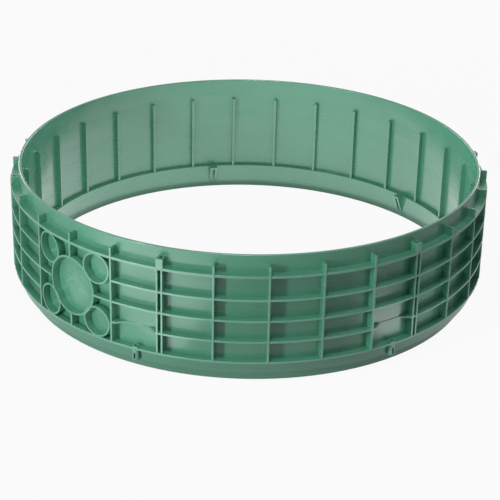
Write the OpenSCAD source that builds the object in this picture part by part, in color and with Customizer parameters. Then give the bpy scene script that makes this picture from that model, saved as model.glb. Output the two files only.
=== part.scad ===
// Septic tank riser: one moulded ring with a ribbed wall, a tongue on top and a groove underneath.
// Sizes in mm, Z up, origin at the centre of the foot it stands on.

/* [Body] */
// Outside diameter of the tongue at the top
rim_d = 640; // [560:1:760]
// Thickness of the main wall
wall = 4; // [3:0.1:6]
// Overall height from the foot to the top of the tongue
height = 177; // [140:1:400]
// Height of the tongue above the flange
tongue_h = 23.4; // [18:0.1:40]
// Bevel on both edges of the tongue
rim_bevel = 0.8; // [0.3:0.1:1.5]
// How much each face of the wall leans out from the plain tongue down to the skirt
wall_draft = 0.6; // [0.2:0.1:1.5]

/* [Flange and hoops] */
// How far the flange, hoops and skirt rim stand out from the wall
hoop_depth = 11.5; // [8:0.1:20]
// Thickness of the flange
flange_t = 3.5; // [2.6:0.1:6]
// Thickness of each hoop and of the skirt rim
hoop_t = 2.8; // [2.2:0.1:5]
// Number of hoops between the flange and the skirt rim
hoop_count = 3; // [2:1:6]
// Extra height of the top row of cells
top_row_extra = 3; // [0:0.1:10]

/* [Ribs] */
// Number of ribs around the ring
rib_count = 30; // [20:1:40]
// Thickness of a plain outer rib
rib_t = 2.8; // [2.2:0.1:5]
// How far the rib edges stand proud of the hoops
rib_proud = 0.4; // [0.2:0.1:1.5]
// Height of the rib stubs above the flange
stub_h = 12; // [8:0.1:17]
// Thickness of an inner rib
inner_rib_t = 4; // [2.4:0.1:6]
// How far the inner ribs stop short of the ledge edge
inner_rib_setback = 1; // [0.2:0.1:2]
// Drop from the top of the tongue to the head of the inner ribs
inner_rib_drop = 29; // [24:0.1:60]
// Slope on the head of the inner ribs
inner_rib_slope = 1.2; // [0.5:0.1:12]

/* [Foot and groove] */
// Height of the lip that reaches below the skirt
lip_h = 15; // [10:0.1:22]
// Thickness of the lip and of the band above it
lip_t = 3.4; // [2.4:0.1:5]
// Height of the skirt from its lower edge to the top of its rim
skirt_h = 18.8; // [14:0.1:30]
// Thickness of the skirt at its lower edge
skirt_t = 2.6; // [2.2:0.1:5]
// How much the skirt spreads towards its rim
skirt_spread = 1.7; // [0.5:0.1:4]
// Clearance of the groove on each side of a tongue
groove_gap = 1.6; // [0.4:0.1:2.4]
// Width of the inner ledge on top of the band
ledge_w = 7.4; // [6:0.1:16]
// Height of the ledge above the skirt rim
ledge_rise = 1.8; // [1:0.1:6]

/* [Screw points] */
// Ribs from one twin rib to the next
twin_every = 5; // [4:1:8]
// Thickness of each half of a twin rib
twin_t = 2.4; // [2:0.1:4]
// Width of the slot between the two halves
twin_slot = 4; // [3:0.1:6]
// How much wider than the twin rib the screw block is, on each side
block_lip = 0.4; // [0.2:0.1:1.5]
// How far the screw block stands back from the rib edges
block_setback = 0.3; // [0.2:0.1:1.5]
// Pilot hole in the screw block
pilot_d = 4.4; // [2.5:0.1:5]
// Width of the slot from the pilot hole back to the tongue
pilot_slot_w = 2.4; // [1.5:0.1:2.5]
// Radius of the driver clearance cut in the lowest hoop
driver_r = 40; // [30:0.5:60]
// How far that cut reaches behind the face of the wall
driver_sink = 2.4; // [1:0.1:8]
// Width of the strip of hoop that the cut leaves along the wall
driver_strip = 0.6; // [0.4:0.1:2]
// Outside diameter of the screw boss on the skirt
skirt_boss_d = 9.2; // [8:0.1:12]
// Screw hole in the skirt boss
skirt_hole_d = 4.4; // [3:0.1:5.5]
// How far the skirt boss stands proud of the skirt rim
skirt_boss_proud = 0.6; // [0.3:0.1:3]
// How far the skirt boss rises above the skirt rim
skirt_boss_rise = 2; // [1:0.1:6]
// Gap from the lower edge of the skirt to the foot of the boss
skirt_boss_lift = 1; // [0.4:0.1:4]
// Width of the slot in the face of the skirt boss
skirt_slot_w = 2.4; // [1.5:0.1:3.5]
// Height of that slot
skirt_slot_h = 9; // [5:0.1:11]
// Width of the wedge bosses on the inner band
wedge_w = 11; // [9:0.1:24]
// How far the wedge bosses stand in from the ledge edge
wedge_reach = 9; // [5:0.1:16]
// Thickness of the flat head of a wedge boss
wedge_head = 3; // [2:0.1:6]
// Drop from the ledge to the head of a wedge boss
wedge_drop = 0.5; // [0.3:0.1:2]
// Width of the slot in a wedge boss
wedge_slot_w = 3.8; // [2:0.1:6]

/* [Port] */
// Outside diameter of the large port collar
port_d = 82; // [50:0.5:90]
// Wall of the large collar
port_wall = 2.6; // [2:0.1:5]
// Outside diameter of the four small collars
small_port_d = 43; // [30:0.5:46]
// Wall of the small collars
small_port_wall = 2.5; // [2:0.1:5]
// How far the collars stand back from the hoop edges
port_setback = 0.6; // [0.3:0.1:3]
// Overlap of the small collars with the ribs and plates beside them
port_overlap = 1; // [0.5:0.1:2]
// Rib that carries the large collar, counted from +X
port_rib = 19; // [14:1:23]

/* [Hidden] */
$fn = 180;
far = 20;
r_out = rim_d / 2;
r_in = r_out - wall;
r_root = r_out - wall / 2;
r_edge = r_out + hoop_depth;
r_rib = r_edge + rib_proud;
r_ledge = r_in - ledge_w;
r_lip_out = r_in - groove_gap;
r_lip_in = r_lip_out - lip_t;
r_skirt_in = r_out + groove_gap;
r_skirt_low = r_skirt_in + skirt_t;
r_skirt_high = r_skirt_low + skirt_spread;
r_port = r_edge - port_setback;
r_block = r_rib - block_setback;
z_skirt = lip_h + skirt_h;
z_ceiling = z_skirt - hoop_t;
z_ledge = z_skirt + ledge_rise;
z_flange = height - tongue_h;
z_stub = z_flange + stub_h;
z_head = height - inner_rib_drop;
z_flange_mid = z_flange - flange_t / 2;
z_skirt_mid = z_skirt - hoop_t / 2;
row = (z_flange_mid - z_skirt_mid - top_row_extra) / (hoop_count + 1);
rib_pitch = 360 / rib_count;
twin_count = floor(rib_count / twin_every);
twin_w = twin_slot + 2 * twin_t;
block_w = twin_w + 2 * block_lip;
r_pilot = (r_out + r_block) / 2;
r_skirt_boss = r_edge + skirt_boss_proud - skirt_boss_d / 2;
z_boss_low = lip_h + skirt_boss_lift;
z_boss_high = z_skirt + skirt_boss_rise;
z_port = z_skirt_mid + row * ceil(hoop_count / 2);
bay_half = r_out * sin(rib_pitch);
small_side = bay_half - rib_t / 2 - small_port_d / 2 + port_overlap;
small_high = z_flange - flange_t - small_port_d / 2 + port_overlap;
small_low = z_skirt + small_port_d / 2 - port_overlap;

// Number of the rib that a twin rib stands in for
function is_twin(i) = i % twin_every == 1 && floor(i / twin_every) < twin_count;

// Azimuth of a screw position counted in rib pitches from a twin rib
function screw_az(k, shift) = (k * twin_every + 1 + shift) * rib_pitch;

// Tongue, wall, ledge, band, groove and skirt in one turned section
module shell() {
    rotate_extrude()
        polygon([
            [r_lip_in, 0],
            [r_lip_out, 0],
            [r_ledge + lip_t, z_ceiling],
            [r_skirt_in, z_ceiling],
            [r_skirt_in, lip_h],
            [r_skirt_low, lip_h],
            [r_skirt_high, z_ceiling],
            [r_edge, z_ceiling],
            [r_edge, z_skirt],
            [r_out + wall_draft, z_skirt],
            [r_out, z_stub + rim_bevel],
            [r_out, height - rim_bevel],
            [r_out - rim_bevel, height],
            [r_in + rim_bevel, height],
            [r_in, height - rim_bevel],
            [r_in, z_head + rim_bevel],
            [r_in - wall_draft, z_ledge],
            [r_ledge, z_ledge]
        ]);
}

// One flat hoop around the wall
module hoop(z_mid, t) {
    rotate_extrude()
        translate([r_root, z_mid - t / 2])
            square([r_edge - r_root, t]);
}

// Sector between the two ribs beside the port
module port_bay() {
    side = (r_edge + far) * tan(rib_pitch);
    rotate([0, 0, port_rib * rib_pitch])
        linear_extrude(height)
            polygon([[0, 0], [r_edge + far, -side], [r_edge + far, side]]);
}

// Round bar along the port axis
module port_bar(d, side, z) {
    rotate([0, 0, port_rib * rib_pitch])
        translate([r_ledge, side, z])
            rotate([0, 90, 0])
                cylinder(h = r_edge + far - r_ledge, d = d);
}

// Space between the middle of the wall and a given radius
module wall_layer(r_top) {
    difference() {
        cylinder(h = height, r = r_top);
        translate([0, 0, -far])
            cylinder(h = height + 2 * far, r = r_root);
    }
}

// Collar that stands on the wall around a port
module collar(d, d_bore, side, z, r_top) {
    intersection() {
        difference() {
            port_bar(d, side, z);
            port_bar(d_bore, side, z);
        }
        wall_layer(r_top);
    }
}

// Flange and hoops, open where the port and the drivers need room
module hoops() {
    hoop(z_flange_mid, flange_t);
    for (i = [1:hoop_count])
        difference() {
            hoop(z_skirt_mid + i * row, hoop_t);
            if (i == ceil(hoop_count / 2))
                port_bar(port_d - port_wall, 0, z_port);
            else
                port_bay();
            if (i == 1)
                for (k = [0:twin_count - 1])
                    difference() {
                        rotate([0, 0, screw_az(k, -0.5)])
                            translate([r_out + driver_r - driver_sink, 0, 0])
                                cylinder(h = height, r = driver_r);
                        cylinder(h = height, r = r_out + wall_draft + driver_strip);
                    }
        }
}

// One flat rib plate on the outside of the wall
module rib_plate(i, side, t, z_low, z_high) {
    rotate([0, 0, i * rib_pitch])
        translate([r_root, side - t / 2, z_low])
            cube([r_rib - r_root, t, z_high - z_low]);
}

// Plain ribs, twin ribs and the broken rib at the port
module outer_ribs() {
    for (i = [0:rib_count - 1])
        if (i == port_rib) {
            rib_plate(i, 0, rib_t, z_skirt_mid, z_port - (port_d - port_wall) / 2);
            rib_plate(i, 0, rib_t, z_port + (port_d - port_wall) / 2, z_stub);
        } else if (is_twin(i)) {
            for (s = [-1, 1])
                rib_plate(i, s * (twin_slot + twin_t) / 2, twin_t, z_skirt_mid, z_flange_mid);
        } else {
            rib_plate(i, 0, rib_t, z_skirt_mid, z_stub);
        }
}

// Blocks above the flange that close the twin ribs
module screw_blocks() {
    for (k = [0:twin_count - 1])
        rotate([0, 0, screw_az(k, 0)])
            translate([r_root, -block_w / 2, z_flange_mid])
                cube([r_block - r_root, block_w, z_stub - z_flange_mid]);
}

// Pilot holes down through the blocks into the twin slots, each open towards the tongue
module pilot_holes() {
    r_slot = r_out + wall_draft;
    for (k = [0:twin_count - 1])
        rotate([0, 0, screw_az(k, 0)])
            translate([0, 0, z_flange - flange_t - rim_bevel]) {
                translate([r_pilot, 0, 0])
                    cylinder(h = stub_h + flange_t + far, d = pilot_d);
                translate([r_slot, -pilot_slot_w / 2, 0])
                    cube([r_pilot - r_slot, pilot_slot_w, stub_h + flange_t + far]);
            }
}

// Ribs on the inside, from the ledge up to a slightly sloping head
module inner_ribs() {
    r_face = r_ledge + inner_rib_setback;
    for (i = [0:rib_count - 1])
        rotate([0, 0, i * rib_pitch])
            translate([0, inner_rib_t / 2, 0])
                rotate([90, 0, 0])
                    linear_extrude(inner_rib_t)
                        polygon([
                            [r_face, z_ledge - ledge_rise / 2],
                            [r_root, z_ledge - ledge_rise / 2],
                            [r_root, z_head],
                            [r_in, z_head],
                            [r_face, z_head - inner_rib_slope]
                        ]);
}

// Upright bosses on the skirt for the screws to the riser below
module skirt_bosses() {
    for (k = [0:twin_count - 1])
        rotate([0, 0, screw_az(k, -0.5)])
            translate([r_skirt_boss, 0, z_boss_low])
                cylinder(h = z_boss_high - z_boss_low, d = skirt_boss_d);
}

// Screw holes and face slots of the skirt bosses
module skirt_boss_cuts() {
    for (k = [0:twin_count - 1])
        rotate([0, 0, screw_az(k, -0.5)])
            translate([r_skirt_boss, 0, 0]) {
                translate([0, 0, lip_h / 2])
                    cylinder(h = z_boss_high - lip_h / 2 + skirt_boss_rise, d = skirt_hole_d);
                translate([0, -skirt_slot_w / 2, z_boss_low + skirt_boss_lift])
                    cube([skirt_boss_d, skirt_slot_w, skirt_slot_h]);
            }
}

// Wedge bosses on the inner band, each slotted through to the band below its head
module wedge_bosses() {
    z_top = z_ledge - wedge_drop;
    r_start = r_ledge - wedge_reach - far;
    r_end = r_lip_in + lip_t / 2;
    for (k = [0:twin_count - 1])
        rotate([0, 0, screw_az(k, twin_every / 2)])
            difference() {
                translate([0, wedge_w / 2, 0])
                    rotate([90, 0, 0])
                        linear_extrude(wedge_w)
                            polygon([
                                [r_ledge + lip_t / 2, z_top],
                                [r_ledge - wedge_reach, z_top],
                                [r_ledge - wedge_reach, z_top - wedge_head],
                                [r_lip_in + lip_t / 4, lip_t]
                            ]);
                translate([r_start, -wedge_slot_w / 2, lip_h / 2])
                    cube([r_end - r_start, wedge_slot_w, z_top - wedge_head - lip_h / 2]);
            }
}

// Large collar with a small collar at each corner of the bay
module port() {
    collar(port_d, port_d - 2 * port_wall, 0, z_port, r_port);
    for (s = [-1, 1])
        for (z = [small_low, small_high])
            collar(small_port_d, small_port_d - 2 * small_port_wall, s * small_side, z, r_port);
}

// The whole riser
module riser() {
    color("seagreen")
        difference() {
            union() {
                shell();
                hoops();
                outer_ribs();
                screw_blocks();
                inner_ribs();
                skirt_bosses();
                wedge_bosses();
                port();
            }
            pilot_holes();
            skirt_boss_cuts();
        }
}

riser();
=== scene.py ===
import math

import bmesh
import bpy
from mathutils import Matrix, Vector


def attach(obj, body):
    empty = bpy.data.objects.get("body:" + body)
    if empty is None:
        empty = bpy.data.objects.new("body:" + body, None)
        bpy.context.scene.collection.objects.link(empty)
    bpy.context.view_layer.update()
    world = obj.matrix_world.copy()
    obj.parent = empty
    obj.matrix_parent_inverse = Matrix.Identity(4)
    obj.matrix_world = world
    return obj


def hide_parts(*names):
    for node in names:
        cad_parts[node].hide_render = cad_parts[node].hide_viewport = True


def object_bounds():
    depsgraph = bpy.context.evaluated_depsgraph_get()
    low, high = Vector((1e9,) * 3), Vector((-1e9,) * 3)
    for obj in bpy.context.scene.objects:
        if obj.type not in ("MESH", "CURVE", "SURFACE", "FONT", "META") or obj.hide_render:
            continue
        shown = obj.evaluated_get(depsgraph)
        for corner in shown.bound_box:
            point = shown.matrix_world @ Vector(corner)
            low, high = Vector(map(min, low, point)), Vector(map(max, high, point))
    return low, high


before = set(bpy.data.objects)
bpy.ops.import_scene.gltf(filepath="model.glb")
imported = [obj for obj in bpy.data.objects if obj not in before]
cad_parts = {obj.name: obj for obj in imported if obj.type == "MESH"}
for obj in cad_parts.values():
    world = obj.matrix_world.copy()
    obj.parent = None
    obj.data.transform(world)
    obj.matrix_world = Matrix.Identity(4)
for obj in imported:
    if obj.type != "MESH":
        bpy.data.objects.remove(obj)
cad_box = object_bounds()
scene = bpy.context.scene

# Sizes of the ring, in metres
MM = 0.001
RIM_R = 0.320
RIM_Z = cad_box[1][2]

# Moulded edges: radius of the rounding and the angle from which an edge is rounded
EDGE_ROUND = 0.4 * MM
EDGE_ANGLE = math.radians(35)
WELD = 0.002 * MM
SLIVER = 0.004 * MM
FLAT_ANGLE = math.radians(0.6)

# Injection gate: in the middle of the large port collar
GATE_TURN = math.radians(228)
GATE_Z = 90.6 * MM
GATE_WAY = Vector((math.cos(GATE_TURN), math.sin(GATE_TURN), 0))

# Half section of the trimmed gate, as radius and rise above the wall, in mm
GATE_PROFILE = [(0.0, 0.75), (0.7, 0.9), (1.1, 0.8), (1.3, 0.4), (2.6, 0.34), (3.1, 0.22), (3.3, -0.4)]
GATE_SIDES = 32
GATE_UNEVEN = 0.06

# Linear colours of the plastic
PIGMENT_DEEP = (0.064, 0.250, 0.158, 1)
PIGMENT_LIGHT = (0.078, 0.285, 0.184, 1)
FLOW_LINE = (0.125, 0.300, 0.220, 1)
SWIRL = (0.180, 0.390, 0.300, 1)
# Pale colour for edges and outer faces: painted highlight together with rubbed wear
WORN_AND_LIT_PALE = (0.200, 0.415, 0.325, 1)
WHITE = (1, 1, 1, 1)
FLOOR_GREY = (0.4, 0.4, 0.4, 1)


# Node helpers

def new_material(name):
    mat = bpy.data.materials.new(name)
    mat.use_nodes = True
    mat.node_tree.nodes.clear()
    return mat, mat.node_tree.nodes, mat.node_tree.links


def add(nodes, kind, **values):
    node = nodes.new(kind)
    for key, value in values.items():
        setattr(node, key, value)
    return node


def put(node, **values):
    for key, value in values.items():
        node.inputs[key.replace("_", " ")].default_value = value
    return node


# Green moulded plastic

def green_plastic():
    mat, nodes, links = new_material("green_plastic")
    out = add(nodes, "ShaderNodeOutputMaterial")
    bsdf = put(add(nodes, "ShaderNodeBsdfPrincipled"), IOR=1.5, Specular_IOR_Level=0.8)
    links.new(bsdf.outputs["BSDF"], out.inputs["Surface"])
    coord = add(nodes, "ShaderNodeTexCoord")
    place = coord.outputs["Object"]

    def math_node(operation, *inputs):
        node = add(nodes, "ShaderNodeMath", operation=operation)
        for socket, value in zip(node.inputs, inputs):
            if isinstance(value, (int, float)):
                socket.default_value = value
            else:
                links.new(value, socket)
        return node.outputs[0]

    def ranged(value, low, high, low_out=0.0, high_out=1.0, interpolation="LINEAR"):
        node = add(nodes, "ShaderNodeMapRange", interpolation_type=interpolation)
        put(node, From_Min=low, From_Max=high, To_Min=low_out, To_Max=high_out)
        links.new(value, node.inputs["Value"])
        return node.outputs["Result"]

    def noise(vector, **values):
        node = put(add(nodes, "ShaderNodeTexNoise"), **values)
        links.new(vector, node.inputs["Vector"])
        return node.outputs["Fac"]

    def mixed(factor, color, other):
        node = add(nodes, "ShaderNodeMix", data_type="RGBA")
        node.inputs["B"].default_value = other
        links.new(factor, node.inputs["Factor"])
        links.new(color, node.inputs["A"])
        return node.outputs["Result"]

    # Around the ring and up its height, so that flow lines run along the hoops
    parts = add(nodes, "ShaderNodeSeparateXYZ")
    links.new(place, parts.inputs[0])
    angle = math_node("ARCTAN2", parts.outputs["Y"], parts.outputs["X"])
    wrapped = add(nodes, "ShaderNodeCombineXYZ")
    links.new(math_node("MULTIPLY", angle, RIM_R), wrapped.inputs["X"])
    links.new(parts.outputs["Z"], wrapped.inputs["Z"])
    flat = add(nodes, "ShaderNodeVectorMath", operation="MULTIPLY")
    flat.inputs[1].default_value = (1, 1, 0)
    links.new(place, flat.inputs[0])
    length = add(nodes, "ShaderNodeVectorMath", operation="LENGTH")
    links.new(flat.outputs["Vector"], length.inputs[0])
    radius = length.outputs["Value"]

    def stretched(along, size, detail):
        way = put(add(nodes, "ShaderNodeMapping"), Scale=(along, 1.0, 1.0))
        links.new(wrapped.outputs[0], way.inputs["Vector"])
        return noise(way.outputs["Vector"], Scale=size, Detail=detail, Roughness=0.6)

    flow = stretched(0.06, 260.0, 4.0)
    bands = stretched(0.12, 60.0, 2.0)
    cloud = noise(place, Scale=7.0, Detail=3.0, Roughness=0.55)
    grain = noise(place, Scale=1400.0, Detail=2.0, Roughness=0.5)

    # Flow marks are strong outside the ring and gone inside
    drag = ranged(radius, RIM_R - 3.5 * MM, RIM_R - 0.5 * MM, 0.0, 0.8)

    # Pigment that varies a little from place to place, paler along the flow lines
    pigment = add(nodes, "ShaderNodeValToRGB")
    deep, light = pigment.color_ramp.elements
    deep.position, deep.color = 0.3, PIGMENT_DEEP
    light.position, light.color = 0.7, PIGMENT_LIGHT
    links.new(cloud, pigment.inputs["Fac"])
    streak = math_node("MULTIPLY", ranged(flow, 0.45, 0.75, high_out=0.15), drag)
    paler = mixed(streak, pigment.outputs["Color"], FLOW_LINE)

    # Pale swirl where the melt spread from the gate
    swirl = noise(place, Scale=75.0, Detail=3.0, Roughness=0.6, Distortion=1.6)
    away = add(nodes, "ShaderNodeVectorMath", operation="DISTANCE")
    away.inputs[1].default_value = GATE_WAY * (RIM_R - 2 * MM) + Vector((0, 0, GATE_Z))
    links.new(place, away.inputs[0])
    near = ranged(away.outputs["Value"], 3 * MM, 36 * MM, 0.75, 0.0, "SMOOTHSTEP")
    curl = ranged(swirl, 0.38, 0.62)
    gated = mixed(math_node("MULTIPLY", near, curl), paler, SWIRL)

    # Edges and the outermost faces painted pale: a painted highlight where they catch the light,
    # together with rubbed wear and scuffs
    geometry = add(nodes, "ShaderNodeNewGeometry")
    worn_and_lit_edges = ranged(geometry.outputs["Pointiness"], 0.52, 0.62, high_out=0.6)
    proud = ranged(radius, RIM_R + 10.3 * MM, RIM_R + 11.2 * MM)
    scuff_and_sheen = ranged(bands, 0.35, 0.65, 0.3, 0.65)
    wear_and_highlight = math_node("MAXIMUM", worn_and_lit_edges, math_node("MULTIPLY", proud, scuff_and_sheen))
    links.new(mixed(wear_and_highlight, gated, WORN_AND_LIT_PALE), bsdf.inputs["Base Color"])

    # Satin skin, glossier in bands, with fine moulding lines
    links.new(ranged(bands, 0.3, 0.7, 0.18, 0.32), bsdf.inputs["Roughness"])
    lines = put(add(nodes, "ShaderNodeBump"), Distance=0.06 * MM)
    links.new(drag, lines.inputs["Strength"])
    links.new(flow, lines.inputs["Height"])
    relief = put(add(nodes, "ShaderNodeBump"), Strength=0.12, Distance=0.03 * MM)
    links.new(grain, relief.inputs["Height"])
    links.new(lines.outputs["Normal"], relief.inputs["Normal"])
    links.new(relief.outputs["Normal"], bsdf.inputs["Normal"])
    return mat


# Mesh helper

def shaded_piece(bm, name, sharp_angle):
    mesh = bpy.data.meshes.new(name)
    bm.to_mesh(mesh)
    bm.free()
    stored = mesh.attributes.get("custom_normal")
    if stored:
        mesh.attributes.remove(stored)
    mesh.shade_smooth()
    mesh.set_sharp_from_angle(angle=math.radians(sharp_angle))
    piece = bpy.data.objects.new(name, mesh)
    scene.collection.objects.link(piece)
    return piece


# The ring with its moulded edges rounded

def rounded_copy(node, name):
    bm = bmesh.new()
    bm.from_mesh(node.data)
    bmesh.ops.remove_doubles(bm, verts=bm.verts, dist=WELD)
    bmesh.ops.dissolve_limit(bm, angle_limit=FLAT_ANGLE, verts=bm.verts, edges=bm.edges)
    edges = [e for e in bm.edges
             if e.is_manifold and e.is_convex and e.calc_face_angle() > EDGE_ANGLE]
    bmesh.ops.bevel(bm, geom=edges, offset=EDGE_ROUND, offset_type="OFFSET", segments=2,
                    profile=0.5, affect="EDGES", clamp_overlap=False)
    bmesh.ops.dissolve_degenerate(bm, dist=SLIVER, edges=bm.edges)
    piece = shaded_piece(bm, name, 40)
    piece.matrix_world = node.matrix_world
    even = piece.modifiers.new("even_shading", "WEIGHTED_NORMAL")
    even.keep_sharp = True
    even.weight = 80
    return piece


# Trimmed gate: a low round pad with a broken-off stub, seated on the wall

def gate_mark(node, name):
    start = GATE_WAY * (RIM_R + 0.2) + Vector((0, 0, GATE_Z))
    hit, place, normal, _ = node.ray_cast(start, -GATE_WAY)
    turned = normal.to_track_quat("Z", "Y").to_matrix()
    bm = bmesh.new()

    def ring(k, radius, rise):
        if radius == 0:
            return [bm.verts.new(place + turned @ Vector((0, 0, rise * MM)))]
        row = []
        for n in range(GATE_SIDES):
            turn = 2 * math.pi * n / GATE_SIDES
            uneven = 1 + GATE_UNEVEN * math.sin(3 * turn + k) if radius < 2 else 1
            reach = radius * uneven
            point = Vector((reach * math.cos(turn), reach * math.sin(turn), rise)) * MM
            row.append(bm.verts.new(place + turned @ point))
        return row

    rings = [ring(k, radius, rise) for k, (radius, rise) in enumerate(GATE_PROFILE)]
    for inner, outer in zip(rings, rings[1:]):
        for n in range(GATE_SIDES):
            m = (n + 1) % GATE_SIDES
            if len(inner) == 1:
                bm.faces.new((inner[0], outer[n], outer[m]))
            else:
                bm.faces.new((inner[n], outer[n], outer[m], inner[m]))
    bm.faces.new(list(reversed(rings[-1])))
    bmesh.ops.recalc_face_normals(bm, faces=bm.faces)
    return shaded_piece(bm, name, 50)


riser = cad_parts["riser"]
plastic = green_plastic()
gate = gate_mark(riser, "gate_mark")
gate.data.materials.append(plastic)
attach(gate, "root")
ring = rounded_copy(riser, "moulded_ring")
ring.data.materials.append(plastic)
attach(ring, "root")
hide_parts("riser")


# Floor: seen as white, and mirrored as a white sheet that ends a little outside the ring

FLOOR_SIZE = 30
FLOOR_WHITE = 0.94
SHEET_NEAR, SHEET_FAR = 0.9, 0.35
SHEET_START, SHEET_END = RIM_R + 60 * MM, RIM_R + 180 * MM


def floor_material():
    mat, nodes, links = new_material("pale_floor")
    out = add(nodes, "ShaderNodeOutputMaterial")
    diffuse = put(add(nodes, "ShaderNodeBsdfDiffuse"), Color=FLOOR_GREY)
    glow = put(add(nodes, "ShaderNodeEmission"), Color=WHITE)
    path = add(nodes, "ShaderNodeLightPath")
    seen = add(nodes, "ShaderNodeMath", operation="MAXIMUM")
    links.new(path.outputs["Is Camera Ray"], seen.inputs[0])
    links.new(path.outputs["Is Transmission Ray"], seen.inputs[1])
    share = add(nodes, "ShaderNodeMath", operation="MULTIPLY")
    share.inputs[1].default_value = FLOOR_WHITE
    links.new(seen.outputs[0], share.inputs[0])
    coord = add(nodes, "ShaderNodeTexCoord")
    away = add(nodes, "ShaderNodeVectorMath", operation="LENGTH")
    links.new(coord.outputs["Object"], away.inputs[0])
    sheet = put(add(nodes, "ShaderNodeMapRange", interpolation_type="SMOOTHSTEP"),
                From_Min=SHEET_START, From_Max=SHEET_END, To_Min=SHEET_NEAR, To_Max=SHEET_FAR)
    links.new(away.outputs["Value"], sheet.inputs["Value"])
    mirrored = add(nodes, "ShaderNodeMath", operation="MULTIPLY_ADD")
    links.new(path.outputs["Is Glossy Ray"], mirrored.inputs[0])
    links.new(sheet.outputs["Result"], mirrored.inputs[1])
    links.new(share.outputs[0], mirrored.inputs[2])
    mix = add(nodes, "ShaderNodeMixShader")
    links.new(mirrored.outputs[0], mix.inputs["Fac"])
    links.new(diffuse.outputs["BSDF"], mix.inputs[1])
    links.new(glow.outputs["Emission"], mix.inputs[2])
    links.new(mix.outputs["Shader"], out.inputs["Surface"])
    return mat


bpy.ops.mesh.primitive_plane_add(size=FLOOR_SIZE, location=(0, 0, 0))
floor = bpy.context.object
floor.name = "floor"
floor.data.materials.append(floor_material())


# World: soft light on the object, white where it is seen, mirrored or looked at through glass

def studio_world(soft_strength, white_strength):
    world = bpy.data.worlds.new("studio")
    world.use_nodes = True
    nodes, links = world.node_tree.nodes, world.node_tree.links
    nodes.clear()
    out = add(nodes, "ShaderNodeOutputWorld")
    soft = put(add(nodes, "ShaderNodeBackground"), Color=WHITE, Strength=soft_strength)
    white = put(add(nodes, "ShaderNodeBackground"), Color=WHITE, Strength=white_strength)
    path = add(nodes, "ShaderNodeLightPath")
    seen = add(nodes, "ShaderNodeMath", operation="MAXIMUM")
    links.new(path.outputs["Is Camera Ray"], seen.inputs[0])
    links.new(path.outputs["Is Glossy Ray"], seen.inputs[1])
    either = add(nodes, "ShaderNodeMath", operation="MAXIMUM")
    links.new(seen.outputs[0], either.inputs[0])
    links.new(path.outputs["Is Transmission Ray"], either.inputs[1])
    mix = add(nodes, "ShaderNodeMixShader")
    links.new(either.outputs[0], mix.inputs["Fac"])
    links.new(soft.outputs["Background"], mix.inputs[1])
    links.new(white.outputs["Background"], mix.inputs[2])
    links.new(mix.outputs["Shader"], out.inputs["Surface"])
    return world


scene.world = studio_world(0.06, 1.0)


# Lights: name, place, target, size, power in watts

def area_light(name, place, target, size, power, shape="RECTANGLE"):
    data = bpy.data.lights.new(name, "AREA")
    data.shape = shape
    data.size = size[0]
    data.size_y = size[1]
    data.energy = power
    obj = bpy.data.objects.new(name, data)
    scene.collection.objects.link(obj)
    obj.location = place
    obj.rotation_euler = (Vector(target) - Vector(place)).to_track_quat("-Z", "Y").to_euler()
    obj.visible_camera = False
    return obj


MIDDLE = (0, 0, 0.1)
area_light("key_left", (-2.25, -2.0, 0.6), MIDDLE, (0.3, 0.8), 51)
area_light("front_top", (-0.25, -1.45, 2.65), (0, -0.3, 0.1), (0.8, 0.8), 36)
area_light("low_card_left", (-0.35, -0.5, 0.01), (-0.35, -0.5, 1), (0.5, 0.3), 0.85)
area_light("low_card_right", (0.303, -0.303, 0.008), (0.303, -0.303, 1), (0.12, 0.12), 0.065, "DISK")
area_light("inner_card", (0, 0, 0.004), (0, 0, 1), (0.606, 0.606), 0.9, "DISK")
area_light("fill_back_right", (1.5, 2.6, 0.7), MIDDLE, (1.4, 0.9), 30)
area_light("fill_back_left", (-1.9, 2.3, 0.7), MIDDLE, (1.4, 0.9), 30)
area_light("fill_front_right", (2.3, -1.5, 1.2), MIDDLE, (1.2, 0.9), 6)

# Camera: turned a little from -Y, 22 degrees above the rim, rolled a little as in the photograph
CAM_TURN = math.radians(1.097)
CAM_ELEVATION = 0.38652
CAM_DISTANCE = 7.08547 * RIM_R
CAM_ROLL = 0.02281
AIM_SIDE = 0.01072 * RIM_R
AIM_DROP = 0.45416 * RIM_R
FOCAL_PX = 1621.09
PHOTO_PX = 500
SENSOR = 36.0

turn = Matrix.Rotation(CAM_TURN, 3, "Z")
place = turn @ Vector((0, -math.cos(CAM_ELEVATION) * CAM_DISTANCE,
                       RIM_Z + math.sin(CAM_ELEVATION) * CAM_DISTANCE))
aim = turn @ Vector((AIM_SIDE, 0, RIM_Z - AIM_DROP))
back = (place - aim).normalized()
right = Vector((0, 0, 1)).cross(back).normalized()
up = back.cross(right)
cam_x = math.cos(CAM_ROLL) * right + math.sin(CAM_ROLL) * up
cam_y = -math.sin(CAM_ROLL) * right + math.cos(CAM_ROLL) * up
cam_data = bpy.data.cameras.new("camera")
cam_data.sensor_fit = "HORIZONTAL"
cam_data.sensor_width = SENSOR
cam_data.lens = FOCAL_PX / PHOTO_PX * SENSOR
cam_data.clip_end = 100
cam = bpy.data.objects.new("camera", cam_data)
scene.collection.objects.link(cam)
pose = Matrix((cam_x, cam_y, back)).transposed().to_4x4()
pose.translation = place
cam.matrix_world = pose
scene.camera = cam
scene.view_settings.view_transform = "Standard"
